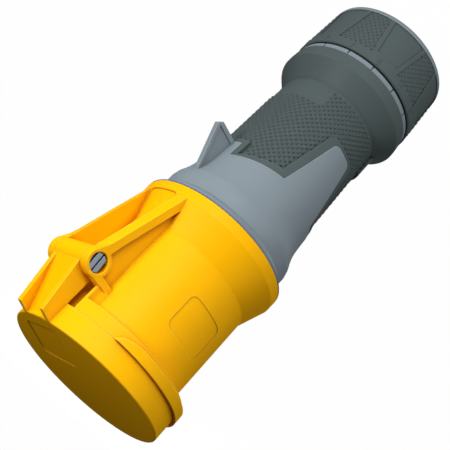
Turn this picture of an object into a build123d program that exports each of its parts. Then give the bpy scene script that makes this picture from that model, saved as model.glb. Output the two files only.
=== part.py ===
from build123d import *
import math
import os

# Industrial cable connector, standing upright on the end of its gland nut.
# Millimetres, +Z up along the axis, origin on the axis at the nut's end face, hinge towards +Y.
# A depth is measured down from the lid's face. An azimuth is measured from the hinge, +Y, towards +X.

# clearances
running_gap = 0.08
loose_gap = 0.3
seat_gap = 0.1

# lid
lid_radius = 48.6
lid_plate = 3.2
lid_wall = 3.1
lid_skirt_end = 13.0
lid_edge_round = 0.8
lid_field_corners = [(-19.0, 38.5), (-28.7, 10.9), (0.0, 8.8), (11.6, 39.6)]
lid_field_depth = 0.4
lid_field_corner_round = 3.0

# hinge
hinge_depth = 36.3
hinge_reach = 54.6
barrel_radius = 7.6
barrel_half_width = 12.0
rib_thickness = 3.0
rib_tip_depth = 1.2
rib_tip_reach = 55.2
rib_foot_reach = 47.3
rib_crest_end = (31.2, 60.4)
floor_thickness = 1.8
floor_front_reach = 47.6
floor_front_depth = 1.0
pin_radius = 2.5
pin_head_radius = 5.1
pin_head_base = 0.8
pin_head_height = 2.6
pin_head_width = 6.6
pin_slot_width = 1.0
pin_slot_depth = 1.6
pin_slot_tilt = 5.5
pin_tail_inset = 0.8
spring_wire = 1.2
spring_turns = 4
spring_pocket_half_width = 6.2
spring_coil_gap = 1.2
spring_lid_leg = 25.0
spring_tube_leg = 18.0

# front shell
mouth_radius = 38.0
lip_radius = 42.0
lip_depth = 7.2
tube_radius = 41.6
tube_bore_rear = 39.0
collar_radius = 48.4
collar_start = 13.2
collar_length = 7.8
collar_wall = 2.6
collar_slot_half_width = 16.2
collar_bridge_width = 1.3
ledge_radius = 50.7
ledge_width = 6.0
ledge_start_azimuth = 50.0
ledge_full_azimuth = 54.0
ledge_run_out = 11.6
bell_start = 79.2
bell_length = 17.4
bell_radius = 48.0
flange_length = 6.6
head_end_radius = 48.3
head_end_round = 0.5
bell_wall = 3.4
bell_recess_half_width = 11.4
bell_recess_depth = 0.8
bell_recess_overrun = 0.9
bell_recess_corner = 3.0
carrier_seat_depth = 50.0
field_start = 38.9
field_end = 61.4
field_half_width = 14.4
field_corner_round = 4.0
field_depth = 0.35
keyway_width = 9.0
keyway_bottom = 39.8

# hinge cheeks on the front shell
cheek_outer = 18.1
cheek_wall_outer = 15.3
ear_radius = 7.6
ear_bore_radius = 5.5
ear_bore_depth = 4.0
ear_bore_chamfer = 0.4
leg_inset = 0.8
leg_width = 3.9
arm_start_depth = 50.0
arm_start_radius = 59.5
arm_end_radius = 48.2
arm_thickness = 4.6

# bayonet between the shells
spigot_radius = 38.7
spigot_wall = 3.0
spigot_step_setback = 4.2
lug_setback = 8.8
lug_length = 4.1
lug_radius = 41.2
catch_length = 3.4
bayonet_count = 3
bayonet_arc = 36.0

# rear shell
flange_seal_thickness = 0.6
flange_seal_radius = 48.2
flange_seal_width = 3.0
shoulder_radius = 46.6
shoulder_length = 1.8
# radius and distance behind the front shell along the waist
waist_profile = [(43.0, 5.8), (43.1, 13.8), (42.4, 17.2), (41.1, 20.3), (40.05, 23.3), (39.2, 26.5),
                 (38.6, 29.8), (38.1, 35.8)]
grip_length = 75.6
grip_end_radius = 33.9
cover_thickness = 3.4
cover_step = 0.3
field_front_drop = 2.3
field_rear_drop = 0.5
grip_wall = 2.1
flare_length = 11.5
flare_radius = 42.8
cover_seat_inset = 1.3
rim_length = 8.3
rim_end_radius = 42.3
collar_ring_length = 3.2
collar_ring_radius = 41.75
collar_cover_seat_radius = 40.2
notch_count = 15
notch_width = 1.0
notch_depth = 0.9
notch_first_azimuth = 3.9
end_wall = 3.0
seal_lip_radius = 27.0
thread_radius = 36.8
thread_bore = 31.0
thread_length = 24.6

# tongues of the rear shell that show through the cover
cover_front_setback = 34.8
cover_front_slope = 0.25
tongue_root_setback = 44.8
tongue_root_half_width = 17.7
tongue_length = 40.4
tongue_tip_half_width = 8.3
tongue_corner_round = 4.0

# smooth raised frame of the cover round the tongues and the fin's foot
frame_front_extra = 0.6
frame_front_slope = 0.39
frame_root_extra = 3.9
frame_tip_extra = 4.9
frame_length_extra = 2.4
frame_tab_extra = 3.3
frame_corner_round = 5.0

# fin on the rear shell
fin_setback = 14.8
fin_front_reach = 41.8
fin_apex_run = 28.5
fin_apex_reach = 54.3
fin_back_run = 31.5
fin_back_reach = 52.0
fin_root_reach = 36.0
fin_half_width = 1.5
fin_web_half_width = 0.6
fin_strip = 1.6
fin_post = 2.6
tab_half_width = 6.2
tab_length = 0.8

# smooth pad at the rear of the cover
cover_pad_length = 13.6
cover_pad_radius = 36.1
cover_pad_half_angle = 42.0

# contact carrier
carrier_face_depth = 12.0
carrier_radius = 30.5
carrier_flange_length = 6.0
carrier_flange_radius = 38.8
carrier_key_gap = 0.2
back_plate_radius = 35.2
back_plate_length = 8.0
contact_circle_radius = 18.5
contact_front_inset = 3.0
contact_shoulder_length = 5.0
contact_shoulder_extra = 1.8
contact_barrel_extra = 0.7
terminal_length = 20.0
contact_wall = 1.65
line_socket_radius = 4.05
earth_socket_radius = 5.05
sleeve_play = 1.1
socket_length = 32.0
socket_slot_width = 0.8
socket_slot_length = 23.0
wire_bore_radius = 4.6
wire_bore_length = 19.5
sleeve_spring_inset = 4.0
sleeve_spring_length = 4.0
sleeve_spring_thickness = 0.6
sleeve_spring_gap = 1.0
terminal_screw_radius = 2.5
terminal_screw_length = 4.8
terminal_screw_rise = 1.0
terminal_screw_inset = 6.0
terminal_screw_pitch = 8.0
terminal_screw_count = 2
screw_slot_width = 1.0
screw_slot_depth = 1.1
carrier_screw_circle = 25.0
carrier_screw_radius = 2.0
carrier_screw_head_radius = 3.5
carrier_screw_head_height = 2.4
carrier_screw_bite = 5.0
carrier_screw_hole_extra = 1.0

# lid seal
lid_seal_inner = 36.7
lid_seal_outer = 43.6
seal_rib_width = 1.2
seal_rib_height = 2.4
catch_hook_half_width = 8.0
catch_hook_reach = 1.9
catch_hook_height = 2.5

# gland
gland_seal_length = 14.9
gland_seal_bore = 17.0
gland_seal_bevel = 3.0
cage_length = 11.5
cage_bevel = 2.0
cage_ring_length = 4.0
cage_bore = 23.0
cage_finger_count = 12
cage_finger_gap = 2.0
pressure_ring_thickness = 3.0
pressure_ring_bore = 22.0

# nut
nut_front_gap = 1.5
nut_front_radius = 42.6
nut_rear_radius = 40.8
nut_bore = 37.9
nut_cover_thickness = 2.0
nut_cover_length = 36.8
nut_end_length = 1.5
entry_radius = 18.5
entry_wall = 3.5
nut_end_recess = 4.2
nut_foot_width = 4.0
nut_edge_round = 0.8
nut_edge_bevel = 0.8
panel_count = 6
panel_first_azimuth = 55.8
panel_front_inset = 8.6
panel_front_half_angle = 10.4
panel_rear_half_angle = 17.2
panel_depth = 0.45
pad_front_inset = 6.4
pad_front_half_angle = 16.4
pad_rear_half_angle = 9.0
pad_depth = 0.35
tick_count = 14
tick_first_azimuth = 0.3
tick_width = 0.7
tick_height = 0.15
tick_length = 5.4

# depths of the joins between pieces
collar_end = collar_start + collar_length
ledge_end = collar_start + ledge_width
bell_end = bell_start + bell_length
head_end = bell_end + flange_length
lug_start = bell_start + lug_setback
carrier_split = carrier_seat_depth + seat_gap
carrier_end = carrier_split + carrier_flange_length
back_plate_end = carrier_end + back_plate_length
contact_start = carrier_face_depth + contact_front_inset
contact_end = back_plate_end + terminal_length
shoulder_start = head_end + flange_seal_thickness
shoulder_end = shoulder_start + shoulder_length
waist_points = [(radius, head_end + setback) for radius, setback in waist_profile]
grip_start_radius, grip_start_depth = waist_points[-1]
grip_end_depth = grip_start_depth + grip_length
flare_end = grip_end_depth + flare_length
rim_end = flare_end + rim_length
collar_ring_end = rim_end + collar_ring_length
thread_end = collar_ring_end + thread_length
gland_seal_end = collar_ring_end + gland_seal_length
cage_end = gland_seal_end + cage_length
nut_front_depth = collar_ring_end + nut_front_gap
nut_cover_end = nut_front_depth + nut_cover_length
total_length = nut_cover_end + nut_end_length


def down(depth):
    return total_length - depth


def turned(points):
    """Solid of revolution from (radius, depth) points."""
    outline = [(radius, down(depth)) for radius, depth in points]
    return revolve(make_face(Plane.XZ * Polyline(*outline, close=True)), Axis.Z)


def ring(outer, inner, start, end):
    return turned([(inner, start), (outer, start), (outer, end), (inner, end)])


def disc(radius, start, end):
    return turned([(0, start), (radius, start), (radius, end), (0, end)])


def side_plate(points, x_low, x_high):
    """Plate from (reach, depth) points, where reach is measured along +Y."""
    outline = [(reach, down(depth)) for reach, depth in points]
    face = make_face(Plane.YZ * Polyline(*outline, close=True))
    return Pos(x_low, 0, 0) * extrude(face, amount=x_high - x_low, dir=(1, 0, 0))


def cross_bar(radius, x_low, x_high, reach, depth):
    """Cylinder along X."""
    bar = Cylinder(radius, x_high - x_low, rotation=(0, 90, 0))
    return Pos((x_low + x_high) / 2, reach, down(depth)) * bar


def block(x_range, y_range, depth_range):
    length, width = x_range[1] - x_range[0], y_range[1] - y_range[0]
    height = depth_range[1] - depth_range[0]
    centre = (sum(x_range) / 2, sum(y_range) / 2, down(sum(depth_range) / 2))
    return Pos(*centre) * Box(length, width, height)


def mirrored(solid):
    return solid + mirror(solid, about=Plane.YZ)


def turned_to(azimuth, solid):
    """Turn what was drawn at the hinge side to an azimuth."""
    return Rot(0, 0, -azimuth) * solid


def at_azimuth(radius, azimuth):
    angle = math.radians(azimuth)
    return radius * math.sin(angle), radius * math.cos(angle)


def wedge_of(solid, azimuth, arc):
    """Part of a turned solid, arc degrees wide, centred on an azimuth."""
    half = math.radians(arc / 2)
    far = 2 * ledge_radius
    outline = Polyline((0, 0), (far * math.sin(-half), far * math.cos(half)),
                       (far * math.sin(half), far * math.cos(half)), close=True)
    cutter = extrude(make_face(outline), amount=2 * total_length)
    return turned_to(azimuth, solid & cutter)


def sector(outer, inner, start, end, azimuth, arc):
    return wedge_of(ring(outer, inner, start, end), azimuth, arc)


def only_solid(shape):
    """The one solid of a shape, without a compound around it."""
    return shape.solids().sort_by(SortBy.VOLUME)[-1]


def ledge():
    """Raised ledge round the side away from the hinge; each end ramps up and widens along a curve."""
    full_x, full_y = at_azimuth(ledge_radius, ledge_full_azimuth)
    start_x, start_y = at_azimuth(collar_radius, ledge_start_azimuth)
    spread = 2 * ledge_radius
    outline = Polyline((start_x, start_y), (full_x, full_y), (spread, full_y), (spread, -spread),
                       (-spread, -spread), (-spread, full_y), (-full_x, full_y), (-start_x, start_y),
                       close=True)
    keep = Pos(0, 0, down(ledge_end)) * extrude(make_face(outline), amount=ledge_width)
    wide_x = start_x + ledge_run_out
    curve = Spline((start_x, down(collar_start)),
                   (start_x + 0.34 * ledge_run_out, down(collar_start + 0.48 * ledge_width)),
                   (start_x + 0.73 * ledge_run_out, down(collar_start + 0.9 * ledge_width)),
                   (wide_x, down(ledge_end)))
    rest = Polyline((wide_x, down(ledge_end)), (spread, down(ledge_end)), (spread, down(collar_start)),
                    (start_x, down(collar_start)))
    face = Plane.XZ * make_face(curve.edges() + rest.edges())
    widening = extrude(face, amount=spread, dir=(0, 1, 0))
    away = block((-spread, spread), (-spread, 0), (collar_start, ledge_end))
    return ring(ledge_radius, collar_radius - 1, collar_start, ledge_end) & keep & (mirrored(widening) + away)


def collar():
    """Hollow collar, open to the rear, slotted where the lid's hinge passes."""
    inner = collar_radius - collar_wall
    solid = turned([(tube_radius - 1, collar_start), (collar_radius, collar_start), (collar_radius, collar_end),
                    (inner, collar_end), (inner, collar_start + collar_wall),
                    (tube_radius - 1, collar_start + collar_wall)])
    slot = block((-collar_slot_half_width, collar_slot_half_width), (0, 2 * collar_radius), (0, collar_end + 1))
    return solid - slot + ledge() + mirrored(bridge())


def bridge():
    """Low wall beside the slot, from the collar to the leg, with a sloping foot."""
    near = collar_slot_half_width
    far = near + collar_bridge_width
    span = (collar_start + collar_wall, leg_front() + 1)
    wall = block((near, far), (0, 2 * collar_radius), span) & ring(collar_radius, tube_radius - 1, *span)
    foot_top = tube_radius
    foot_low = foot_top - 5
    foot = Polyline((near, foot_top), (far, foot_top), (far + 1.4, foot_low), (near, foot_low), close=True)
    return wall + Pos(0, 0, down(span[1])) * extrude(make_face(foot), amount=span[1] - collar_end - 1)


def leg_front():
    return hinge_depth - ear_radius + leg_inset


def arm_envelope():
    """Cone that carries the tops of both arms down to the flange."""
    return turned([(0, arm_start_depth - 15), (arm_start_radius + 15 * arm_rise(), arm_start_depth - 15),
                   (arm_end_radius, bell_end), (0, bell_end)])


def arm_rise():
    return (arm_start_radius - arm_end_radius) / (bell_end - arm_start_depth)


def arm_top(depth):
    """Reach of the arm's top edge at the cheek's outer face."""
    radius = arm_end_radius + arm_rise() * (bell_end - depth)
    return math.sqrt(radius ** 2 - cheek_outer ** 2)


def cheek():
    """One hinge cheek: ear, leg, wall and overhanging arm, on the +X side."""
    inner = barrel_half_width + loose_gap
    ear_top = hinge_reach + ear_radius
    ear_rear = hinge_depth + ear_radius
    start = hinge_depth + ear_radius * 0.4
    arm_points = [(ear_top + 8, start), (ear_top, bell_end), (arm_top(bell_end) - arm_thickness, bell_end),
                  (arm_top(ear_rear) - arm_thickness, ear_rear), (hinge_reach, start)]
    arm = side_plate(arm_points, inner, cheek_outer) & arm_envelope()
    blend = side_plate([(hinge_reach, hinge_depth), (ear_top - 1.0, hinge_depth + 3.6),
                        (ear_top - 2.3, hinge_depth + 6.2), (ear_top - 4.1, hinge_depth + 9.6),
                        (arm_top(arm_start_depth), arm_start_depth),
                        (arm_top(arm_start_depth) - arm_thickness, arm_start_depth)], inner, cheek_outer)
    root = tube_radius - 4
    wall = side_plate([(root, leg_front() + 1), (hinge_reach, leg_front() + 1), (hinge_reach, hinge_depth),
                       (arm_top(bell_end) - 1, bell_end), (root, bell_end)], inner, cheek_wall_outer)
    leg_end = leg_front() + leg_width
    leg = side_plate([(root - 1, leg_front()), (hinge_reach, leg_front()), (hinge_reach, leg_end + 2.5),
                      (hinge_reach - 7.5, leg_end + 0.2), (root - 1, leg_end)], inner, cheek_outer)
    ear = cross_bar(ear_radius, inner, cheek_outer, hinge_reach, hinge_depth)
    return arm + blend + wall + leg + ear


def bell_recess():
    """Cutter that lowers the bell between the arms, with round corners at the flange."""
    rear = bell_end + bell_recess_overrun
    low = bell_radius - bell_recess_depth
    band = turned([(tube_radius, bell_start), (2 * bell_radius, bell_start), (2 * bell_radius, rear), (low, rear),
                   (low, bell_end)])
    length = 1.5 * (rear - bell_start)
    outline = RectangleRounded(2 * bell_recess_half_width, length, bell_recess_corner)
    face = Pos(0, 0, down(rear - length / 2)) * (Plane.XZ * outline)
    prism = extrude(face, amount=2 * bell_radius, dir=(0, 1, 0))
    return band & prism


def head_cavity():
    """Everything inside the front shell."""
    return turned([(0, 0), (mouth_radius, 0), (mouth_radius, carrier_seat_depth),
                   (tube_bore_rear, carrier_seat_depth), (tube_bore_rear, bell_start),
                   (head_end_radius - bell_wall, bell_end + 2), (head_end_radius - bell_wall, head_end + 5),
                   (0, head_end + 5)])


def label_field():
    """Shallow rounded field on the tube's side, 90 degrees from the hinge."""
    middle = (field_start + field_end) / 2
    outline = RectangleRounded(2 * field_half_width, field_end - field_start, field_corner_round)
    prism = extrude(Pos(0, 0, down(middle)) * (Plane.YZ * outline), amount=2 * tube_radius, dir=(1, 0, 0))
    return prism & ring(2 * tube_radius, tube_radius - field_depth, field_start, field_end)


def head_housing():
    shell = turned([(0, lip_depth), (lip_radius, lip_depth), (lip_radius, collar_start + collar_wall),
                    (tube_radius, collar_start + collar_wall), (tube_radius, bell_start),
                    (bell_radius, bell_end), (head_end_radius, head_end), (0, head_end)])
    shell = fillet(shell.edges().filter_by(GeomType.CIRCLE).sort_by(Axis.Z)[0], head_end_round)
    shell = shell + collar() + mirrored(cheek())
    shell = shell - head_cavity() - mirrored(label_field()) - bell_recess()
    shell = shell - block((-keyway_width / 2, keyway_width / 2), (-keyway_bottom, -mouth_radius + 2),
                          (0, carrier_end + 1))
    for index in range(bayonet_count):
        catch_start = lug_start + lug_length + seat_gap
        shell = shell + sector(head_end_radius - bell_wall, spigot_radius + loose_gap, catch_start,
                               catch_start + catch_length, 360 / bayonet_count * index, bayonet_arc)
    head_bore = cheek_outer - ear_bore_depth
    shell = shell - cross_bar(ear_bore_radius, head_bore, cheek_outer + 1, hinge_reach, hinge_depth)
    mouth = Cone(ear_bore_radius, ear_bore_radius + ear_bore_chamfer, ear_bore_chamfer, rotation=(0, 90, 0))
    shell = shell - Pos(cheek_outer - ear_bore_chamfer / 2, hinge_reach, down(hinge_depth)) * mouth
    shell = shell - cross_bar(pin_radius, -cheek_outer - 1, cheek_outer, hinge_reach, hinge_depth)
    return only_solid(shell)


def lid_hinge_block():
    """Two ribs, a sloping floor between them and the barrel round the pin."""
    crest_depth, crest_reach = rib_crest_end
    rib_outline = [(lid_radius - lid_wall, 0), (rib_foot_reach, 0), (rib_tip_reach, rib_tip_depth),
                   (crest_reach, crest_depth), (hinge_reach, hinge_depth),
                   (hinge_reach - barrel_radius + 1, hinge_depth - 3), (rib_foot_reach, hinge_depth - 8),
                   (rib_foot_reach, lid_skirt_end), (lid_radius - lid_wall, lid_skirt_end)]
    rib = side_plate(rib_outline, barrel_half_width - rib_thickness, barrel_half_width)
    slope = math.atan2(crest_depth - floor_front_depth, crest_reach - floor_front_reach)
    inward = (-floor_thickness * math.sin(slope), floor_thickness * math.cos(slope))
    floor_top = [(floor_front_reach, floor_front_depth), (crest_reach, crest_depth)]
    floor_under = [(reach + inward[0], depth + inward[1]) for reach, depth in reversed(floor_top)]
    floor = side_plate(floor_top + floor_under, -barrel_half_width + 1, barrel_half_width - 1)
    barrel = cross_bar(barrel_radius, -barrel_half_width, barrel_half_width, hinge_reach, hinge_depth)
    roof_inner = barrel_radius - 1.5
    pocket = cross_bar(roof_inner, -spring_pocket_half_width, spring_pocket_half_width, hinge_reach, hinge_depth)
    reach_start = hinge_reach - 2 * barrel_radius
    pocket += block((-spring_pocket_half_width, spring_pocket_half_width), (reach_start, hinge_reach),
                    (hinge_depth - roof_inner, hinge_depth + 2 * barrel_radius))
    pocket += block((-spring_pocket_half_width, spring_pocket_half_width),
                    (reach_start, hinge_reach - barrel_radius / 2), (hinge_depth - 1.5 * barrel_radius, hinge_depth))
    pin_bore = cross_bar(pin_radius + running_gap, -cheek_outer, cheek_outer, hinge_reach, hinge_depth)
    return mirrored(rib) + floor + barrel - pocket - pin_bore


def lid():
    cap = turned([(0, 0), (lid_radius, 0), (lid_radius, lid_skirt_end), (lid_radius - lid_wall, lid_skirt_end),
                  (lid_radius - lid_wall, lid_plate), (0, lid_plate)])
    cap = fillet(cap.edges().filter_by(GeomType.CIRCLE).sort_by(Axis.Z)[-1], lid_edge_round)
    opening = block((-barrel_half_width, barrel_half_width), (0, 2 * lid_radius), (lid_plate, lid_skirt_end))
    rib_ring = ring(lid_seal_inner - seat_gap, lid_seal_inner - seat_gap - seal_rib_width, lid_plate,
                    lid_plate + seal_rib_height)
    hook_start = lid_skirt_end - catch_hook_height
    hook = ring(lid_radius - lid_wall, lid_radius - lid_wall - catch_hook_reach, hook_start, lid_skirt_end)
    hook = hook & block((-catch_hook_half_width, catch_hook_half_width), (-2 * lid_radius, 0), (0, lid_skirt_end))
    field_line = FilletPolyline(*lid_field_corners, radius=lid_field_corner_round, close=True)
    field = Pos(0, 0, down(lid_field_depth)) * extrude(make_face(field_line), amount=2 * lid_field_depth)
    cap = cap + lid_hinge_block() + rib_ring + hook - field
    return only_solid(cap - (opening & ring(lid_radius - lid_wall, 0, 0, lid_skirt_end)))


def lid_seal():
    return ring(lid_seal_outer, lid_seal_inner, lid_plate, lip_depth - seat_gap)


def hinge_pin():
    """Pin with a slotted two-flat head that sits in the near ear's bore."""
    head_start = cheek_outer - ear_bore_depth
    head_end_x = head_start + pin_head_height
    shaft = cross_bar(pin_radius, -cheek_outer + pin_tail_inset, head_start, hinge_reach, hinge_depth)
    base = cross_bar(pin_head_radius, head_start, head_start + pin_head_base, hinge_reach, hinge_depth)
    head = cross_bar(pin_head_radius, head_start, head_end_x, hinge_reach, hinge_depth)
    place = Pos(head_end_x, hinge_reach, down(hinge_depth)) * Rot(pin_slot_tilt, 0, 0)
    flats = place * Box(2 * pin_head_height, pin_head_width, 4 * pin_head_radius)
    slot = place * Box(2 * pin_slot_depth, pin_slot_width, 4 * pin_head_radius)
    return only_solid(shaft + base + (head & flats) - slot)


def rod(start, end, radius):
    """Straight wire with a round end at its start."""
    direction = Vector(*end) - Vector(*start)
    wire = extrude(Plane(origin=start, z_dir=direction) * Circle(radius), amount=direction.length)
    return wire + Pos(*start) * Sphere(radius)


def lid_spring():
    """Torsion spring round the pin, one leg on the lid's skirt and one on the tube."""
    mean_radius = pin_radius + running_gap + spring_wire / 2 + spring_coil_gap
    half_width = spring_pocket_half_width - spring_wire
    coil_path = Helix(pitch=2 * half_width / spring_turns, height=2 * half_width, radius=mean_radius)
    start_plane = Plane(origin=coil_path @ 0, z_dir=coil_path % 0)
    coil = sweep(start_plane * Circle(spring_wire / 2), path=coil_path, is_frenet=True)
    # both ends of the coil lie at the side that faces the tube
    coil = Rot(-90, 0, 0) * (Rot(0, 90, 0) * coil)
    coil = Pos(-half_width, hinge_reach, down(hinge_depth)) * coil
    corner_reach = hinge_reach - mean_radius
    clear = spring_wire / 2 + seat_gap
    lid_reach = math.sqrt(lid_radius ** 2 - half_width ** 2) + clear
    tube_reach = math.sqrt(tube_radius ** 2 - half_width ** 2) + clear
    lid_leg = rod((-half_width, corner_reach, down(hinge_depth)),
                  (-half_width, lid_reach, down(hinge_depth - spring_lid_leg)), spring_wire / 2)
    tube_leg = rod((half_width, corner_reach, down(hinge_depth)),
                   (half_width, tube_reach, down(hinge_depth + spring_tube_leg)), spring_wire / 2)
    return only_solid(coil + lid_leg + tube_leg)


def contact_place(azimuth):
    """Axis of one contact, in the plane of the carrier."""
    x, y = at_azimuth(contact_circle_radius, azimuth)
    return Pos(x, y, 0)


contact_azimuths = {"line": 0.0, "neutral": 240.0, "earth": 120.0}
socket_radii = {"line": line_socket_radius, "neutral": line_socket_radius, "earth": earth_socket_radius}


def sleeve_radius(name):
    return socket_radii[name] + contact_wall


def shoulder_radius_of(name):
    return sleeve_radius(name) + contact_shoulder_extra


def barrel_radius_of(name):
    return sleeve_radius(name) + contact_barrel_extra


def carrier_screw_places():
    return [Pos(*at_azimuth(carrier_screw_circle, azimuth + 60), 0) for azimuth in contact_azimuths.values()]


def contact_insert():
    """Front half of the carrier, which holds the sleeves by their shoulders."""
    body = disc(carrier_radius, carrier_face_depth, carrier_split)
    for name, azimuth in contact_azimuths.items():
        place = contact_place(azimuth)
        body -= place * disc(sleeve_radius(name) + sleeve_play, 0, carrier_split - contact_shoulder_length)
        body -= place * disc(shoulder_radius_of(name) + seat_gap, carrier_split - contact_shoulder_length,
                             carrier_split)
    for place in carrier_screw_places():
        hole_start = carrier_split - carrier_screw_bite - carrier_screw_hole_extra
        body -= place * disc(carrier_screw_radius, hole_start, carrier_split)
    return only_solid(body)


def insert_back():
    """Rear half of the carrier, with the keyed flange that rests on the shell's seat."""
    plate = disc(carrier_flange_radius, carrier_split, carrier_end)
    plate += disc(back_plate_radius, carrier_end, back_plate_end)
    key_width = keyway_width - 2 * carrier_key_gap
    plate += block((-key_width / 2, key_width / 2), (-keyway_bottom + carrier_key_gap, -carrier_radius),
                   (carrier_split, carrier_end))
    for name, azimuth in contact_azimuths.items():
        hole = disc(barrel_radius_of(name) + seat_gap, carrier_split, back_plate_end)
        plate -= contact_place(azimuth) * hole
    for place in carrier_screw_places():
        plate -= place * disc(carrier_screw_radius + seat_gap, carrier_split, back_plate_end)
    return only_solid(plate)


def contact(name):
    """Slotted socket sleeve in one piece with its wire terminal."""
    radius = sleeve_radius(name)
    spring_seat = radius - sleeve_spring_thickness
    spring_start = contact_start + sleeve_spring_inset
    spring_end = spring_start + sleeve_spring_length
    body = turned([(0, contact_start), (radius, contact_start), (radius, spring_start),
                   (spring_seat, spring_start), (spring_seat, spring_end), (radius, spring_end),
                   (radius, carrier_split - contact_shoulder_length),
                   (shoulder_radius_of(name), carrier_split - contact_shoulder_length),
                   (shoulder_radius_of(name), carrier_split), (barrel_radius_of(name), carrier_split),
                   (barrel_radius_of(name), contact_end), (0, contact_end)])
    body -= disc(socket_radii[name], contact_start, contact_start + socket_length)
    body -= disc(wire_bore_radius, contact_end - wire_bore_length, contact_end)
    slot_range = (contact_start, contact_start + socket_slot_length)
    half = socket_slot_width / 2
    body -= block((-2 * radius, 2 * radius), (-half, half), slot_range)
    body -= block((-half, half), (-2 * radius, 2 * radius), slot_range)
    for depth in terminal_screw_depths():
        hole = Pos(0, radius, down(depth)) * Cylinder(terminal_screw_radius, 2 * radius, rotation=(90, 0, 0))
        body -= hole
    azimuth = contact_azimuths[name]
    return only_solid(contact_place(azimuth) * turned_to(azimuth, body))


def terminal_screw_depths():
    first = back_plate_end + terminal_screw_inset
    return [first + index * terminal_screw_pitch for index in range(terminal_screw_count)]


def sleeve_spring(name):
    """Split ring that squeezes the slotted sleeve."""
    radius = sleeve_radius(name)
    start = contact_start + sleeve_spring_inset
    end = start + sleeve_spring_length
    band = ring(radius, radius - sleeve_spring_thickness, start, end)
    band -= block((0, 2 * radius), (-sleeve_spring_gap / 2, sleeve_spring_gap / 2), (start, end))
    azimuth = contact_azimuths[name]
    return only_solid(contact_place(azimuth) * turned_to(azimuth + 45, band))


def slotted_screw(radius, length):
    """Set screw along +Y, its slotted end at the origin."""
    body = Pos(0, -length / 2, 0) * Cylinder(radius, length, rotation=(90, 0, 0))
    return body - Box(4 * radius, 2 * screw_slot_depth, screw_slot_width)


def terminal_screws():
    screws = []
    for name, azimuth in contact_azimuths.items():
        outer = barrel_radius_of(name) + terminal_screw_rise
        for depth in terminal_screw_depths():
            screw = Pos(0, outer, down(depth)) * slotted_screw(terminal_screw_radius, terminal_screw_length)
            screws.append(contact_place(azimuth) * turned_to(azimuth, screw))
    return screws


def carrier_screws():
    screws = []
    for place in carrier_screw_places():
        screw = disc(carrier_screw_radius, carrier_split - carrier_screw_bite, back_plate_end)
        head_end_depth = back_plate_end + carrier_screw_head_height
        screw += disc(carrier_screw_head_radius, back_plate_end, head_end_depth)
        screw -= block((-2 * carrier_screw_head_radius, 2 * carrier_screw_head_radius),
                       (-screw_slot_width / 2, screw_slot_width / 2),
                       (head_end_depth - screw_slot_depth, head_end_depth))
        screws.append(place * screw)
    return screws


def flange_seal():
    return ring(flange_seal_radius, flange_seal_radius - flange_seal_width, head_end, shoulder_start)


def tongue_prism(root_half_width, tip_half_width, length, corner_round):
    """Outline of the tongues on both sides, seen along X."""
    root = head_end + tongue_root_setback
    tip = root + length
    front_half = root_half_width + (root_half_width - tip_half_width) / length * tongue_root_setback
    outline = Polyline((-front_half, down(head_end)), (-tip_half_width, down(tip)),
                       (tip_half_width, down(tip)), (front_half, down(head_end)), close=True)
    face = make_face(Plane.YZ * outline)
    face = fillet(face.vertices().sort_by(Axis.Z)[:2], corner_round)
    spread = 2 * ledge_radius
    return Pos(-spread, 0, 0) * extrude(face, amount=2 * spread, dir=(1, 0, 0))


def front_wedge(start, slope):
    """Zone in front of a depth that grows to both sides, seen along Y."""
    spread = 2 * ledge_radius
    edge = start + slope * spread
    outline = Polyline((-spread, down(head_end)), (-spread, down(edge)), (0, down(start)),
                       (spread, down(edge)), (spread, down(head_end)), close=True)
    return Pos(0, spread, 0) * extrude(make_face(Plane.XZ * outline), amount=2 * spread, dir=(0, -1, 0))


def tab_box(extra):
    """Foot of the fin that reaches into the cover."""
    half_width = tab_half_width + extra
    end = head_end + fin_setback + fin_back_run + tab_length + extra
    return block((-half_width, half_width), (0, 2 * ledge_radius), (waist_points[-2][1], end))


def bare_zone():
    """Where the rear shell shows, with the cover cut away."""
    start = head_end + cover_front_setback
    tongues = tongue_prism(tongue_root_half_width, tongue_tip_half_width, tongue_length, tongue_corner_round)
    return front_wedge(start, cover_front_slope) + tongues + tab_box(0)


def frame_zone():
    """Where the cover stays smooth and raised, round the bare zone."""
    start = head_end + cover_front_setback + frame_front_extra
    tongues = tongue_prism(tongue_root_half_width + frame_root_extra, tongue_tip_half_width + frame_tip_extra,
                           tongue_length + frame_length_extra, frame_corner_round)
    return front_wedge(start, frame_front_slope) + tongues + tab_box(frame_tab_extra)


def fin():
    """Nose with a thin web between a sloping strip and a rear post."""
    front_depth = head_end + fin_setback
    apex_depth = front_depth + fin_apex_run
    back_depth = front_depth + fin_back_run
    outer = [(fin_root_reach, front_depth), (fin_front_reach, front_depth), (fin_apex_reach, apex_depth),
             (fin_back_reach, back_depth), (fin_root_reach, back_depth)]
    web = side_plate(outer, -fin_web_half_width, fin_web_half_width)
    strip = side_plate([(fin_front_reach - fin_strip, front_depth), (fin_front_reach, front_depth),
                        (fin_apex_reach, apex_depth), (fin_back_reach, back_depth),
                        (fin_apex_reach - 1.5 * fin_strip, apex_depth)], -fin_half_width, fin_half_width)
    post_top = fin_apex_reach - fin_strip
    post = side_plate([(fin_root_reach, back_depth - fin_post), (post_top, back_depth - fin_post),
                       (fin_back_reach, back_depth), (fin_root_reach, back_depth)],
                      -fin_half_width, fin_half_width)
    return web + strip + post


def grip_outline(front_drop, rear_drop):
    """Ends of the straight taper as (radius, depth) points, each sunk by its drop."""
    return [(grip_start_radius - front_drop, grip_start_depth), (grip_end_radius - rear_drop, grip_end_depth)]


def cover_seat(drop):
    """Point on the waist where the cover's seat begins, sunk by a drop."""
    seat_radius, seat_depth = waist_points[-2]
    return [(seat_radius - drop, seat_depth)]


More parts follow.
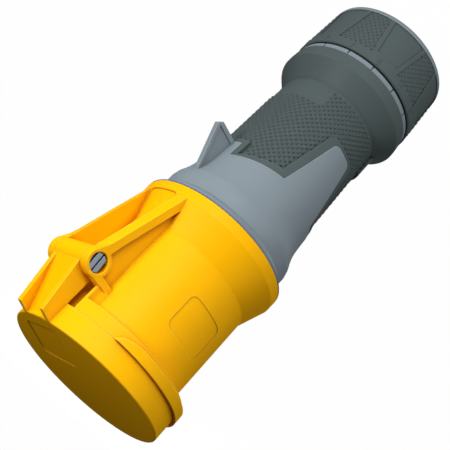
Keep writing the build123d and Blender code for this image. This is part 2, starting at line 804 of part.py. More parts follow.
def grip_housing():
    step_start = head_end - spigot_step_setback
    step_radius = head_end_radius - bell_wall - 2 * loose_gap
    core_radius = grip_end_radius - cover_thickness
    front = [(spigot_radius, carrier_end + seat_gap), (spigot_radius, step_start), (step_radius, step_start),
             (step_radius, shoulder_start), (shoulder_radius, shoulder_start), (shoulder_radius, shoulder_end)]
    gland = [(core_radius, grip_end_depth + cover_seat_inset),
             (collar_cover_seat_radius, flare_end + cover_seat_inset), (collar_cover_seat_radius, rim_end),
             (collar_ring_radius, rim_end), (collar_ring_radius, collar_ring_end),
             (thread_radius, collar_ring_end), (thread_radius, thread_end), (0, thread_end),
             (0, carrier_end + seat_gap)]
    core = turned(front + waist_points[:-1] + cover_seat(cover_thickness)
                  + grip_outline(cover_thickness, cover_thickness) + gland)
    skin = turned([(0, waist_points[0][1])] + waist_points + grip_outline(0, 0)[1:] + [(0, grip_end_depth)])
    body = core + (skin & bare_zone()) + fin()
    spigot_bore = spigot_radius - spigot_wall
    wall = cover_thickness + grip_wall
    flare_inner = collar_cover_seat_radius - grip_wall - 1
    wall_start = collar_ring_end - end_wall
    cavity = turned([(0, carrier_end), (spigot_bore, carrier_end), (spigot_bore, waist_points[1][1])]
                    + grip_outline(wall, wall)
                    + [(flare_inner, flare_end), (flare_inner, wall_start), (seal_lip_radius, wall_start),
                       (seal_lip_radius, collar_ring_end), (thread_bore, collar_ring_end),
                       (thread_bore, thread_end), (0, thread_end)])
    body -= cavity
    for index in range(bayonet_count):
        body += sector(lug_radius, spigot_radius - 1, lug_start, lug_start + lug_length,
                       360 / bayonet_count * index, bayonet_arc)
    for index in range(notch_count):
        notch = block((-notch_width / 2, notch_width / 2),
                      (collar_ring_radius - notch_depth, 2 * collar_ring_radius), (rim_end, collar_ring_end))
        body -= turned_to(notch_first_azimuth + 360 / notch_count * index, notch)
    return only_solid(body)


def grip_cover():
    """Soft cover moulded round the rear shell, with a sunk field behind its raised frame."""
    core_radius = grip_end_radius - cover_thickness
    seat = grip_outline(cover_thickness, cover_thickness)[:1] + cover_seat(cover_thickness)
    tube = turned(seat + cover_seat(field_front_drop) + grip_outline(field_front_drop, field_rear_drop)
                  + [(flare_radius, flare_end), (flare_radius, flare_end + rim_length / 3),
                     (rim_end_radius, rim_end), (collar_cover_seat_radius, rim_end),
                     (collar_cover_seat_radius, flare_end + cover_seat_inset),
                     (core_radius, grip_end_depth + cover_seat_inset)])
    root = cover_thickness - cover_step
    frame = turned(cover_seat(root) + cover_seat(cover_step) + grip_outline(cover_step, cover_step)
                   + grip_outline(root, root)[::-1])
    pad_start = grip_end_depth - cover_pad_length
    pad_inner = grip_end_radius - cover_thickness / 2
    pad = turned([(pad_inner, pad_start), (cover_pad_radius, pad_start),
                  (cover_pad_radius, grip_end_depth + flare_length / 3), (pad_inner, grip_end_depth)])
    pad = wedge_of(pad, 180, 2 * cover_pad_half_angle)
    return only_solid(tube + (frame & frame_zone()) - bare_zone() + pad)


def gland_seal():
    outer = thread_bore - seat_gap
    return turned([(gland_seal_bore, collar_ring_end), (outer, collar_ring_end),
                   (outer, gland_seal_end - gland_seal_bevel), (outer - gland_seal_bevel, gland_seal_end),
                   (gland_seal_bore, gland_seal_end)])


def clamp_cage():
    """Ring with fingers that close on the cable."""
    outer = thread_bore - seat_gap
    start = gland_seal_end + seat_gap
    body = turned([(cage_bore, start), (outer - gland_seal_bevel, start), (outer, start + gland_seal_bevel / 2),
                   (outer, cage_end - cage_bevel), (outer - cage_bevel, cage_end), (cage_bore, cage_end)])
    for index in range(cage_finger_count):
        gap = block((-cage_finger_gap / 2, cage_finger_gap / 2), (0, 2 * outer), (start + cage_ring_length, cage_end))
        body -= turned_to(360 / cage_finger_count * index, gap)
    return only_solid(body)


def pressure_ring():
    start = cage_end + seat_gap
    return ring(nut_bore - loose_gap, pressure_ring_bore, start, start + pressure_ring_thickness)


def nut_outline(shrink):
    slope = (nut_front_radius - nut_rear_radius) / (nut_cover_end - nut_front_depth)
    end_radius = nut_rear_radius - slope * (total_length - nut_cover_end)
    return nut_front_radius - shrink, nut_rear_radius - shrink, end_radius


def gland_nut():
    """Threaded core of the nut; the thread stands in the gap between spigot and bore."""
    front, rear, end_radius = nut_outline(nut_cover_thickness)
    floor_start = cage_end + seat_gap + pressure_ring_thickness + seat_gap
    foot_inner = end_radius - nut_edge_bevel - nut_foot_width
    lip_outer = entry_radius + entry_wall
    body = turned([(nut_bore, nut_front_depth), (front, nut_front_depth), (rear, nut_cover_end),
                   (end_radius, nut_cover_end), (end_radius - nut_edge_bevel, total_length),
                   (foot_inner, total_length), (foot_inner, total_length - nut_end_recess),
                   (lip_outer, total_length - nut_end_recess),
                   (lip_outer, total_length), (entry_radius, total_length), (entry_radius, floor_start),
                   (nut_bore, floor_start)])
    return only_solid(body)


def nut_field(start, front_half_angle, rear_half_angle, drop):
    """Cutter for one shallow field of the nut's cover, from a depth to the rear end."""
    front_half = nut_front_radius * math.sin(math.radians(front_half_angle))
    rear_half = nut_rear_radius * math.sin(math.radians(rear_half_angle))
    outline = Polyline((-front_half, down(start)), (front_half, down(start)), (rear_half, down(total_length)),
                       (-rear_half, down(total_length)), close=True)
    prism = extrude(make_face(Plane.XZ * outline), amount=2 * nut_front_radius, dir=(0, 1, 0))
    front, rear, end_radius = nut_outline(drop)
    shell = turned([(front, nut_front_depth), (2 * front, nut_front_depth), (2 * front, total_length),
                    (end_radius - drop, total_length)])
    return prism & shell


def nut_cover():
    """Soft cover of the nut, with smooth panels and sunk pads in turn."""
    front, rear, _ = nut_outline(0)
    inner_front, inner_rear, _ = nut_outline(nut_cover_thickness)
    body = turned([(inner_front, nut_front_depth), (front, nut_front_depth), (rear, nut_cover_end),
                   (inner_rear, nut_cover_end)])
    body = chamfer(body.edges().filter_by(GeomType.CIRCLE).group_by(Axis.Z)[-1].sort_by(SortBy.RADIUS)[-1],
                   nut_edge_round)
    panel = nut_field(nut_front_depth + panel_front_inset, panel_front_half_angle, panel_rear_half_angle,
                      panel_depth)
    pad = nut_field(nut_front_depth + pad_front_inset, pad_front_half_angle, pad_rear_half_angle, pad_depth)
    pitch = 360 / panel_count
    for index in range(panel_count):
        azimuth = panel_first_azimuth + pitch * index
        body = body - turned_to(azimuth, panel) - turned_to(azimuth + pitch / 2, pad)
    for index in range(tick_count):
        tick = block((-tick_width / 2, tick_width / 2),
                     (front - nut_cover_thickness / 2, front + tick_height),
                     (nut_front_depth + nut_edge_round, nut_front_depth + tick_length))
        body += turned_to(tick_first_azimuth + 360 / tick_count * index, tick)
    return only_solid(body)


nodes = {
    "head_housing": head_housing(),
    "lid": lid(),
    "lid_seal": lid_seal(),
    "hinge_pin": hinge_pin(),
    "lid_spring": lid_spring(),
    "contact_insert": contact_insert(),
    "insert_back": insert_back(),
    "terminal_screws": Compound(children=terminal_screws()),
    "carrier_screws": Compound(children=carrier_screws()),
    "flange_seal": flange_seal(),
    "grip_housing": grip_housing(),
    "grip_cover": grip_cover(),
    "gland_seal": gland_seal(),
    "clamp_cage": clamp_cage(),
    "pressure_ring": pressure_ring(),
    "gland_nut": gland_nut(),
    "nut_cover": nut_cover(),
}
for contact_name in contact_azimuths:
    nodes["contact_" + contact_name] = contact(contact_name)
    nodes["sleeve_spring_" + contact_name] = sleeve_spring(contact_name)

os.makedirs("parts", exist_ok=True)
for node_name, solid in nodes.items():
    export_step(solid, os.path.join("parts", node_name + ".step"))
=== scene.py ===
import math
import bpy
import bmesh
from mathutils import Matrix, Vector


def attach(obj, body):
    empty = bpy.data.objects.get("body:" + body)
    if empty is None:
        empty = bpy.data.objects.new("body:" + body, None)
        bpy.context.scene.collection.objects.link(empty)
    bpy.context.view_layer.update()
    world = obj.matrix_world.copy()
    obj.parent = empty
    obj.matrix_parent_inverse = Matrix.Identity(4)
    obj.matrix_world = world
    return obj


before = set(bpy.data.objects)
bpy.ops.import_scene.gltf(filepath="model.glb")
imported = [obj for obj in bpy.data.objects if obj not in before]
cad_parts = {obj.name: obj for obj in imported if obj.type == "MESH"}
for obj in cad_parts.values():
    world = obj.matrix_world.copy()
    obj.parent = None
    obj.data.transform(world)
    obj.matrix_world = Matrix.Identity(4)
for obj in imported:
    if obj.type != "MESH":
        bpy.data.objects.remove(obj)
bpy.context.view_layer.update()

mm = 0.001
totalLength = 277.4  # mm, depths are measured down from the lid's face


def linearColour(hexText):
    # sRGB hex to the linear colour that the shaders use
    channels = [int(hexText[i:i + 2], 16) / 255 for i in (0, 2, 4)]
    return [c / 12.92 if c <= 0.04045 else ((c + 0.055) / 1.055) ** 2.4 for c in channels] + [1.0]


def addNode(tree, kind, values=None, links=None, **settings):
    node = tree.nodes.new("ShaderNode" + kind)
    for name, value in settings.items():
        setattr(node, name, value)
    for name, value in (values or {}).items():
        node.inputs[name].default_value = value
    for name, socket in (links or {}).items():
        tree.links.new(socket, node.inputs[name])
    return node


def polar(radius, azimuth, depth):
    # azimuth in degrees from the hinge side, +Y, towards +X
    angle = math.radians(azimuth)
    return Vector((radius * math.sin(angle), radius * math.cos(angle), totalLength - depth)) * mm


def finishPiece(name, bm, material, body, sharpAngle):
    bmesh.ops.remove_doubles(bm, verts=bm.verts, dist=1e-6)
    bmesh.ops.recalc_face_normals(bm, faces=bm.faces)
    mesh = bpy.data.meshes.new(name)
    bm.to_mesh(mesh)
    bm.free()
    mesh.polygons.foreach_set("use_smooth", [True] * len(mesh.polygons))
    mesh.set_sharp_from_angle(angle=math.radians(sharpAngle))
    piece = bpy.data.objects.new(name, mesh)
    bpy.context.scene.collection.objects.link(piece)
    piece.data.materials.append(material)
    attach(piece, body)


cameraSettings = {
    "position": (0.42200, 0.30320, 0.39090),
    "right": (0.6500, -0.4290, -0.6270),
    "up": (-0.1570, 0.7310, -0.6640),
    "lens": 80.0,
    "sensor": 36.0,
}


def makeCamera():
    data = bpy.data.cameras.new("photoCamera")
    data.lens = cameraSettings["lens"]
    data.sensor_width = cameraSettings["sensor"]
    data.clip_start = 0.01
    right = Vector(cameraSettings["right"]).normalized()
    back = right.cross(Vector(cameraSettings["up"])).normalized()
    up = back.cross(right)
    turn = Matrix((right, up, back)).transposed().to_4x4()
    camera = bpy.data.objects.new("photoCamera", data)
    camera.matrix_world = Matrix.Translation(cameraSettings["position"]) @ turn
    bpy.context.scene.collection.objects.link(camera)
    bpy.context.scene.camera = camera


makeCamera()
print("camera made")


stageSettings = {
    "floorSize": 16.0,
    "floorHex": "E9EAEC",
    "floorGlow": 0.42,          # light of the table from below
    "floorSeenAsWhite": 0.98,   # share of plain white that the camera sees, the rest keeps the shadow
    "worldStrength": 0.03,
    "aimHeight": 0.14,                          # m, the lamps look at this point of the axis
    "keyDirection": (0.585, 0.807, -0.08),      # low over the table, so the faces that look up stay darker
    "keyDistance": 0.8,
    "keySize": 0.42,
    "keyHeight": 0.14,
    "keyPower": 2.85,
    "fillDirection": (0.92, -0.39, 0.08),
    "fillDistance": 1.6,
    "fillSize": 0.8,
    "fillHeight": 0.8,
    "fillPower": 2.2,
    "backDirection": (-0.70, -0.71, 0.0),       # lights the side that the photo does not show
    "backDistance": 1.6,
    "backSize": 0.9,
    "backHeight": 0.25,
    "backPower": 9.0,
    "nearDirection": (0.15, 0.86, 0.52),        # small lamp over the hinge side, grazes the lid's face
    "nearDistance": 0.46,
    "nearSize": 0.12,
    "nearHeight": 0.12,
    "nearPower": 0.98,
}


def seenDirectly(tree):
    # 1 for rays of the camera, of reflections and of clear matter, 0 for the light that falls on the object
    path = addNode(tree, "LightPath")
    seen = addNode(tree, "Math", links={0: path.outputs["Is Camera Ray"], 1: path.outputs["Is Glossy Ray"]},
                   operation="MAXIMUM")
    seen = addNode(tree, "Math", links={0: seen.outputs[0], 1: path.outputs["Is Transmission Ray"]},
                   operation="MAXIMUM")
    return seen.outputs[0]


def makeStage():
    scene = bpy.context.scene
    scene.view_settings.view_transform = "Standard"
    # floor: matt paper on a lit table, white to the camera apart from the soft shadow
    material = bpy.data.materials.new("paperFloor")
    material.use_nodes = True
    tree = material.node_tree
    tree.nodes.clear()
    matt = addNode(tree, "BsdfDiffuse", {"Color": linearColour(stageSettings["floorHex"])})
    glow = addNode(tree, "Emission", {"Color": (1, 1, 1, 1), "Strength": stageSettings["floorGlow"]})
    paper = addNode(tree, "AddShader", links={0: matt.outputs[0], 1: glow.outputs[0]})
    white = addNode(tree, "Emission", {"Color": (1, 1, 1, 1), "Strength": 1.0})
    share = addNode(tree, "Math", {1: stageSettings["floorSeenAsWhite"]}, {0: seenDirectly(tree)},
                    operation="MULTIPLY")
    mixed = addNode(tree, "MixShader", links={0: share.outputs[0], 1: paper.outputs[0], 2: white.outputs[0]})
    addNode(tree, "OutputMaterial", links={"Surface": mixed.outputs[0]})
    bm = bmesh.new()
    bmesh.ops.create_grid(bm, x_segments=1, y_segments=1, size=stageSettings["floorSize"] / 2)
    mesh = bpy.data.meshes.new("floor")
    bm.to_mesh(mesh)
    bm.free()
    floor = bpy.data.objects.new("floor", mesh)
    floor.data.materials.append(material)
    scene.collection.objects.link(floor)
    # world: white to the camera and in reflections, a soft grey light on the object
    world = bpy.data.worlds.new("studio")
    scene.world = world
    world.use_nodes = True
    tree = world.node_tree
    tree.nodes.clear()
    soft = addNode(tree, "Background", {"Color": (1, 1, 1, 1), "Strength": stageSettings["worldStrength"]})
    bright = addNode(tree, "Background", {"Color": (1, 1, 1, 1), "Strength": 1.0})
    mixed = addNode(tree, "MixShader",
                    links={0: seenDirectly(tree), 1: soft.outputs[0], 2: bright.outputs[0]})
    addNode(tree, "OutputWorld", links={"Surface": mixed.outputs[0]})
    for name in ("key", "fill", "back", "near"):
        data = bpy.data.lights.new(name, "AREA")
        data.shape = "ELLIPSE"
        data.size = stageSettings[name + "Size"]
        data.size_y = stageSettings[name + "Height"]
        data.energy = stageSettings[name + "Power"]
        lamp = bpy.data.objects.new(name, data)
        direction = Vector(stageSettings[name + "Direction"]).normalized()
        aim = Vector((0, 0, stageSettings["aimHeight"]))
        lamp.location = aim + direction * stageSettings[name + "Distance"]
        lamp.rotation_euler = direction.to_track_quat("Z", "Y").to_euler()
        scene.collection.objects.link(lamp)


makeStage()
print("stage made")


surfaceSettings = {
    # a tone fades in while the openness falls from the first value to the second: a painted highlight on
    # outer edges and painted shade in hollows
    "paintedHighlightFrom": 0.97, "paintedHighlightTo": 0.55, "paintedShadeFrom": 0.95, "paintedShadeTo": 0.35,
    "grainFrom": 0.3, "grainTo": 0.7,            # noise values that give the two ends of the roughness
    "metalEdgeRadius": 0.25, "metalGrainStrength": 0.2, "metalGrainDepth": 0.02,   # mm
}


def plasticMaterial(name, settings):
    # moulded skin: a faint cloudy tone, fine grain in the gloss, a painted highlight that makes outer edges
    # paler and painted shade that darkens hollows
    surface = surfaceSettings
    material = bpy.data.materials.new(name)
    material.use_nodes = True
    tree = material.node_tree
    tree.nodes.clear()
    place = addNode(tree, "TexCoord")
    cloud = addNode(tree, "TexNoise",
                    {"Scale": 1 / (settings["cloudSize"] * mm), "Detail": 3.0, "Roughness": 0.5},
                    {"Vector": place.outputs["Object"]})
    grain = addNode(tree, "TexNoise",
                    {"Scale": 1 / (settings["grainSize"] * mm), "Detail": 2.0, "Roughness": 0.6},
                    {"Vector": place.outputs["Object"]})
    tone = addNode(tree, "Mix", {6: linearColour(settings["hex"]), 7: linearColour(settings["cloudHex"])},
                   {0: cloud.outputs[0]}, data_type="RGBA")
    rounded = addNode(tree, "Bevel", {"Radius": settings["edgeRadius"] * mm}, samples=6)
    # seen from inside the matter only an outer edge is crowded, so inner corners keep their tone
    crowded = addNode(tree, "AmbientOcclusion", {"Distance": settings["edgeRadius"] * mm}, samples=8,
                      inside=True, only_local=True)
    edge = addNode(tree, "MapRange",
                   {"From Min": surface["paintedHighlightFrom"], "From Max": surface["paintedHighlightTo"], "To Min": 0.0,
                    "To Max": settings["edgeHighlightStrength"]}, {"Value": crowded.outputs["AO"]})
    # painted highlight: outer edges are lightened towards the tone given for edges
    paintedHighlight = addNode(tree, "Mix", {7: linearColour(settings["edgeHighlightHex"])},
                     {0: edge.outputs[0], 6: tone.outputs[2]}, data_type="RGBA")
    # painted shade: the colour darkens towards the shade tone in hollows, creases and between the points,
    # where the surroundings close in
    openness = addNode(tree, "AmbientOcclusion", {"Distance": settings["paintedShadeSize"] * mm}, samples=8)
    paintedShade = addNode(tree, "MapRange",
                     {"From Min": surface["paintedShadeFrom"], "From Max": surface["paintedShadeTo"], "To Min": 0.0,
                      "To Max": settings["paintedShadeStrength"]}, {"Value": openness.outputs["AO"]})
    colour = addNode(tree, "Mix", {7: linearColour(settings["paintedShadeHex"])},
                     {0: paintedShade.outputs[0], 6: paintedHighlight.outputs[2]}, data_type="RGBA")
    gloss = addNode(tree, "MapRange",
                    {"From Min": surface["grainFrom"], "From Max": surface["grainTo"],
                     "To Min": settings["roughness"][0], "To Max": settings["roughness"][1]},
                    {"Value": grain.outputs[0]})
    bump = addNode(tree, "Bump",
                   {"Strength": settings["grainStrength"], "Distance": settings["grainDepth"] * mm},
                   {"Height": grain.outputs[0], "Normal": rounded.outputs[0]})
    body = addNode(tree, "BsdfPrincipled", {"Specular IOR Level": 0.0, "Roughness": 0.9},
                   {"Base Color": colour.outputs[2], "Normal": bump.outputs[0]})
    # an even share of satin shine: a soft broad highlight, without the white veil of a flat-on studio wall
    shine = addNode(tree, "BsdfAnisotropic", {"Color": (1, 1, 1, 1)},
                    {"Roughness": gloss.outputs[0], "Normal": bump.outputs[0]})
    shader = addNode(tree, "MixShader", {0: settings["shine"]}, {1: body.outputs[0], 2: shine.outputs[0]})
    addNode(tree, "OutputMaterial", links={"Surface": shader.outputs[0]})
    return material


def metalMaterial(name, settings):
    # drawn, turned or plated metal: short bright streaks and small change in tone
    surface = surfaceSettings
    material = bpy.data.materials.new(name)
    material.use_nodes = True
    tree = material.node_tree
    tree.nodes.clear()
    place = addNode(tree, "TexCoord")
    along = addNode(tree, "Mapping", {"Scale": settings["streak"]}, {"Vector": place.outputs["Object"]})
    streak = addNode(tree, "TexNoise", {"Scale": 1 / (settings["grainSize"] * mm), "Detail": 3.0},
                     {"Vector": along.outputs[0]})
    tone = addNode(tree, "Mix", {6: linearColour(settings["hex"]), 7: linearColour(settings["cloudHex"])},
                   {0: streak.outputs[0]}, data_type="RGBA")
    gloss = addNode(tree, "MapRange",
                    {"From Min": surface["grainFrom"], "From Max": surface["grainTo"],
                     "To Min": settings["roughness"][0], "To Max": settings["roughness"][1]},
                    {"Value": streak.outputs[0]})
    rounded = addNode(tree, "Bevel", {"Radius": surface["metalEdgeRadius"] * mm}, samples=6)
    bump = addNode(tree, "Bump",
                   {"Strength": surface["metalGrainStrength"], "Distance": surface["metalGrainDepth"] * mm},
                   {"Height": streak.outputs[0], "Normal": rounded.outputs[0]})
    shader = addNode(tree, "BsdfPrincipled", {"Metallic": 1.0},
                     {"Base Color": tone.outputs[2], "Roughness": gloss.outputs[0],
                      "Normal": bump.outputs[0]})
    addNode(tree, "OutputMaterial", links={"Surface": shader.outputs[0]})
    return material


plasticSettings = {
    # in each plastic the tone for outer edges is a painted highlight and the tone for hollows is painted
    # shade
    # injection moulded polyamide: saturated, satin, a soft highlight along the tube
    "yellowPolyamide": {"hex": "FFBC00", "cloudHex": "FFB600", "edgeHighlightHex": "FFD23C", "edgeHighlightStrength": 0.75,
                        "cloudSize": 30.0, "grainSize": 0.5, "grainStrength": 0.25, "grainDepth": 0.03,
                        "roughness": (0.42, 0.5), "edgeRadius": 0.6, "shine": 0.006,
                        "paintedShadeHex": "B04A00", "paintedShadeSize": 5.0, "paintedShadeStrength": 0.75},
    # the same polyamide in light grey from a finely eroded mould: a wider, paler highlight
    "greyPolyamide": {"hex": "838E95", "cloudHex": "7D8990", "edgeHighlightHex": "A3AFB5", "edgeHighlightStrength": 0.7,
                      "cloudSize": 25.0, "grainSize": 0.45, "grainStrength": 0.35, "grainDepth": 0.04,
                      "roughness": (0.42, 0.5), "edgeRadius": 0.5, "shine": 0.012,
                      "paintedShadeHex": "5A646A", "paintedShadeSize": 4.0, "paintedShadeStrength": 0.6},
    # thermoplastic elastomer moulded over the shell: dark, satin, grips the hand
    "gripElastomer": {"hex": "525D5D", "cloudHex": "4E5858", "edgeHighlightHex": "6F7A7B", "edgeHighlightStrength": 0.6,
                      "cloudSize": 20.0, "grainSize": 0.4, "grainStrength": 0.4, "grainDepth": 0.04,
                      "roughness": (0.42, 0.5), "edgeRadius": 0.4, "shine": 0.008,
                      "paintedShadeHex": "0E1414", "paintedShadeSize": 3.0, "paintedShadeStrength": 0.9},
    # moulded black rubber with a dusty bloom
    "blackRubber": {"hex": "202122", "cloudHex": "2A2B2C", "edgeHighlightHex": "3A3B3C", "edgeHighlightStrength": 0.5,
                    "cloudSize": 8.0, "grainSize": 0.4, "grainStrength": 0.4, "grainDepth": 0.04,
                    "roughness": (0.5, 0.65), "edgeRadius": 0.3, "shine": 0.02,
                    "paintedShadeHex": "101111", "paintedShadeSize": 3.0, "paintedShadeStrength": 0.5},
    # thin blue-grey silicone seal between the shells
    "blueSilicone": {"hex": "5F77A0", "cloudHex": "56709A", "edgeHighlightHex": "7F95BA", "edgeHighlightStrength": 0.4,
                     "cloudSize": 10.0, "grainSize": 0.4, "grainStrength": 0.2, "grainDepth": 0.02,
                     "roughness": (0.4, 0.5), "edgeRadius": 0.15, "shine": 0.015,
                     "paintedShadeHex": "3C4C6A", "paintedShadeSize": 2.0, "paintedShadeStrength": 0.5},
    # dark polyester of the contact carrier, fine spark-eroded surface
    "carrierPolyester": {"hex": "34373A", "cloudHex": "2E3134", "edgeHighlightHex": "55595C", "edgeHighlightStrength": 0.6,
                         "cloudSize": 12.0, "grainSize": 0.35, "grainStrength": 0.3, "grainDepth": 0.03,
                         "roughness": (0.42, 0.52), "edgeRadius": 0.3, "shine": 0.02,
                         "paintedShadeHex": "16181A", "paintedShadeSize": 5.0, "paintedShadeStrength": 0.6},
}
metalSettings = {
    # turned brass of the socket contacts: fine rings round the axis
    "turnedBrass": {"hex": "C9A25A", "cloudHex": "B98F49", "streak": (1, 1, 12), "grainSize": 0.6,
                    "roughness": (0.2, 0.34)},
    # drawn spring steel wire: lines along the wire
    "drawnSteel": {"hex": "9A9C9E", "cloudHex": "85888B", "streak": (1, 6, 6), "grainSize": 0.5,
                   "roughness": (0.25, 0.4)},
    # zinc plated steel of pin and screws: bluish, slightly brushed
    "zincPlatedSteel": {"hex": "8A939B", "cloudHex": "747E87", "streak": (6, 1, 1), "grainSize": 0.5,
                        "roughness": (0.28, 0.42)},
}
materials = {name: plasticMaterial(name, settings) for name, settings in plasticSettings.items()}
materials.update({name: metalMaterial(name, settings) for name, settings in metalSettings.items()})

nodeMaterials = {
    "head_housing": "yellowPolyamide", "lid": "yellowPolyamide", "lid_seal": "blackRubber",
    "hinge_pin": "zincPlatedSteel", "lid_spring": "drawnSteel", "contact_insert": "carrierPolyester",
    "insert_back": "carrierPolyester", "contact_line": "turnedBrass", "contact_neutral": "turnedBrass",
    "contact_earth": "turnedBrass", "sleeve_spring_line": "drawnSteel", "sleeve_spring_neutral": "drawnSteel",
    "sleeve_spring_earth": "drawnSteel", "terminal_screws": "zincPlatedSteel",
    "carrier_screws": "zincPlatedSteel", "flange_seal": "blueSilicone", "grip_housing": "greyPolyamide",
    "grip_cover": "gripElastomer", "gland_seal": "blackRubber", "clamp_cage": "carrierPolyester",
    "pressure_ring": "greyPolyamide", "gland_nut": "greyPolyamide", "nut_cover": "gripElastomer",
}
for nodeName, materialName in nodeMaterials.items():
    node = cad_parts[nodeName]
    node.data.materials.clear()
    node.data.materials.append(materials[materialName])
print("materials made")


bumpSettings = {
    "sunk": 0.12,                                # mm that a point reaches into the skin below it
    "tipShare": 0.1,                             # width of the flat tip against that of the foot
}


def fieldRadius(field, depth):
    # the floor of a patterned field is a cone
    share = (depth - field["frontDepth"]) / (field["rearDepth"] - field["frontDepth"])
    return field["frontRadius"] + share * (field["rearRadius"] - field["frontRadius"])


def bumpOnField(bm, field, azimuth, depth):
    # one low four-sided point that stands on the field's floor
    angle = math.radians(azimuth)
    outward = Vector((math.sin(angle), math.cos(angle), 0.0))
    across = Vector((math.cos(angle), -math.sin(angle), 0.0))
    turn = Matrix((across, outward.cross(across), outward)).transposed().to_4x4()
    sunk = bumpSettings["sunk"] * mm
    foot = field["bumpRadius"] * mm
    height = field["bumpHeight"] * mm
    middle = polar(fieldRadius(field, depth), azimuth, depth) + outward * (height / 2 - sunk)
    bmesh.ops.create_cone(bm, cap_ends=True, segments=4, radius1=foot,
                          radius2=foot * bumpSettings["tipShare"], depth=height + 2 * sunk,
                          matrix=Matrix.Translation(middle) @ turn)


gripSettings = {
    "rowPitch": 1.9305, "rowPhase": 1.405,       # mm along the axis
    "columns": 56, "columnPhase": -0.41,         # round the grip, every other row set over by half
    "firstRow": 74, "lastRow": 109,
    "bumpRadius": 1.3, "bumpHeight": 0.9,
    "frontRadius": 35.8, "rearRadius": 33.4,     # floor of the sunk field
    "frontDepth": 139.0, "rearDepth": 214.6,
    "edgeGap": 0.2,                              # between the field's edge and the foot of a point
    "bareHalfAngle": 41.0, "bareStart": 200.0,   # smooth place near the flared end, at the hinge side
    "padHalfAngle": 43.0, "padStart": 199.8,     # smooth raised pad at the other side
}
marginSettings = {
    # edge of the patterned field, one quarter, as (azimuth, depth); the rest is mirrored
    "corner": [(0.0, 142.6), (12.0, 143.0), (27.0, 145.0), (36.0, 147.1), (45.0, 148.8), (51.5, 149.9),
               (54.6, 150.9), (56.5, 152.9), (57.6, 156.5), (62.0, 171.5), (66.0, 184.0), (67.6, 188.4),
               (69.6, 190.4), (73.0, 191.0), (90.0, 191.0)],
    "tabHalfWidth": 10.5, "tabEnd": 154.8,       # tab of the smooth frame behind the fin, with its gap
}


def marginDepth(azimuth):
    # where the patterned field starts at an azimuth of 0 to 90 degrees from the hinge
    points = marginSettings["corner"]
    for (a0, d0), (a1, d1) in zip(points, points[1:]):
        if a0 <= azimuth <= a1:
            return d0 + (d1 - d0) * (azimuth - a0) / (a1 - a0)
    return points[-1][1]


def inGripField(azimuth, depth):
    # azimuth from -180 to 180 degrees
    g = gripSettings
    side = abs(azimuth)
    if depth < marginDepth(min(side, 180 - side)) + g["bumpRadius"] + g["edgeGap"]:
        return False
    fromMiddle = abs(fieldRadius(g, depth) * math.sin(math.radians(azimuth)))
    if side < 90 and fromMiddle < marginSettings["tabHalfWidth"] and depth < marginSettings["tabEnd"]:
        return False
    if side < g["bareHalfAngle"] and depth > g["bareStart"]:
        return False
    return not (180 - side < g["padHalfAngle"] and depth > g["padStart"])


def makeGripPattern():
    g = gripSettings
    bm = bmesh.new()
    for row in range(g["firstRow"], g["lastRow"] + 1):
        depth = g["rowPhase"] + g["rowPitch"] * row
        for column in range(g["columns"]):
            turned = g["columnPhase"] + (column + 0.5 * (row % 2)) * 360 / g["columns"]
            azimuth = (turned + 180) % 360 - 180
            if inGripField(azimuth, depth):
                bumpOnField(bm, g, azimuth, depth)
    finishPiece("gripPattern", bm, materials["gripElastomer"], "housing", 25)


makeGripPattern()
print("grip pattern made")


nutSettings = {
    "frontRadius": 42.25, "rearRadius": 40.45,   # floor of the sunk pads
    "frontDepth": 239.1, "rearDepth": 275.9,
    "padCount": 6, "padFirstAzimuth": 25.6,
    "rows": 15, "firstDepth": 246.4, "rowPitch": 1.955,
    "halfColumns": 4, "columnPitch": 4.87,       # degrees
    "halfWidth": 14.75, "narrowing": 0.245, "narrowFrom": 250.3,   # a pad narrows towards the cable end
    "bumpRadius": 0.8, "bumpHeight": 0.7,
}


def makeNutPattern():
    n = nutSettings
    bm = bmesh.new()
    for pad in range(n["padCount"]):
        middle = n["padFirstAzimuth"] + pad * 360 / n["padCount"]
        for row in range(n["rows"]):
            depth = n["firstDepth"] + row * n["rowPitch"]
            limit = n["halfWidth"] - n["narrowing"] * max(0.0, depth - n["narrowFrom"])
            for column in range(-n["halfColumns"], n["halfColumns"] + 1):
                offset = (column + 0.5 * (row % 2)) * n["columnPitch"]
                if abs(offset) <= limit:
                    bumpOnField(bm, n, middle + offset, depth)
    finishPiece("nutPattern", bm, materials["gripElastomer"], "nut", 25)


makeNutPattern()
print("nut pattern made")


rimSettings = {
    # (radius, depth) of the light band that the nut's core shows behind its soft cover
    "profile": [(40.4, 274.1), (41.02, 274.2), (40.92, 276.0), (40.7, 276.7), (40.0, 277.35), (39.2, 277.35)],
    "steps": 180,
}


def spinProfile(bm, profile, azimuth, angle, steps, rise=0.0, merge=False):
    # turns a closed outline of (radius, depth) round the axis, with a rise along the axis per step
    corners = [bm.verts.new(polar(radius, azimuth, depth)) for radius, depth in profile]
    edges = [bm.edges.new(pair) for pair in zip(corners, corners[1:] + corners[:1])]
    bmesh.ops.spin(bm, geom=corners + edges, cent=(0, 0, 0), axis=(0, 0, -1), dvec=(0, 0, rise),
                   angle=angle, steps=steps, use_merge=merge)


def makeNutRim():
    bm = bmesh.new()
    spinProfile(bm, rimSettings["profile"], 0.0, math.radians(360), rimSettings["steps"], merge=True)
    finishPiece("nutRim", bm, materials["greyPolyamide"], "nut", 30)


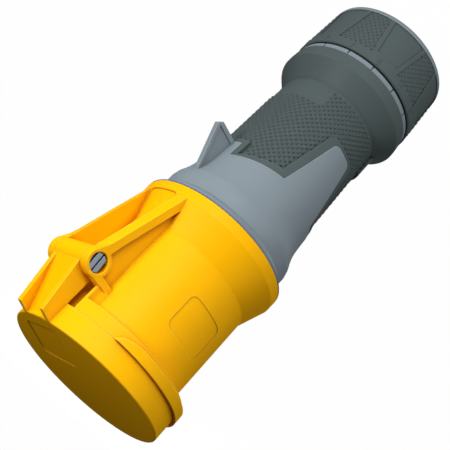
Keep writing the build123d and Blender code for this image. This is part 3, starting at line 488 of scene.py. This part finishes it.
makeNutRim()
print("nut rim made")


threadSettings = {
    # trapezoidal right-hand thread of the gland: the two ridges run half a pitch apart
    "pitch": 4.0, "height": 0.9, "rootHalfWidth": 1.0, "crestHalfWidth": 0.55, "stepsPerTurn": 72,
    "rootSunk": 0.1,                             # mm that the ridge's root reaches into its wall
    "runOut": 40.0, "runOutSunk": 0.05,          # degrees over which an end dips, and how far below the wall
    "spigot": {"radius": 36.8, "start": 239.6, "end": 260.6, "shift": 0.0, "side": 1},     # side 1: outward
    "nut": {"radius": 37.9, "start": 241.0, "end": 262.0, "shift": 2.0, "side": -1},       # side -1: inward
}


def makeThread(name, ridge, body):
    t = threadSettings
    start, end, side = ridge["start"], ridge["end"], ridge["side"]
    steps = int((end - start) / t["pitch"] * t["stepsPerTurn"])
    root = ridge["radius"] - side * t["rootSunk"]
    crest = ridge["radius"] + side * t["height"]
    profile = [(root, start - t["rootHalfWidth"]), (crest, start - t["crestHalfWidth"]),
               (crest, start + t["crestHalfWidth"]), (root, start + t["rootHalfWidth"])]
    first = (start - ridge["shift"]) / t["pitch"] * 360
    turned = math.radians(steps * 360 / t["stepsPerTurn"])
    bm = bmesh.new()
    spinProfile(bm, profile, first, turned, steps, -t["pitch"] / t["stepsPerTurn"] * mm)
    bmesh.ops.holes_fill(bm, edges=[edge for edge in bm.edges if edge.is_boundary], sides=4)
    # the crest dips into its wall over the run-out at either end
    for vert in bm.verts:
        across = math.hypot(vert.co.x, vert.co.y) / mm
        if abs(across - crest) > t["rootSunk"] / 2:
            continue
        depth = totalLength - vert.co.z / mm
        inside = min(depth - start, end - depth) + t["crestHalfWidth"]
        risen = min(1.0, max(0.0, inside / t["pitch"] * 360 / t["runOut"]))
        dip = (1 - risen) * (t["height"] + t["runOutSunk"]) * side
        vert.co.xy = vert.co.xy * (1 - dip / across)
    finishPiece(name, bm, materials["greyPolyamide"], body, 30)


makeThread("spigotThread", threadSettings["spigot"], "housing")
makeThread("nutThread", threadSettings["nut"], "nut")
print("threads made")
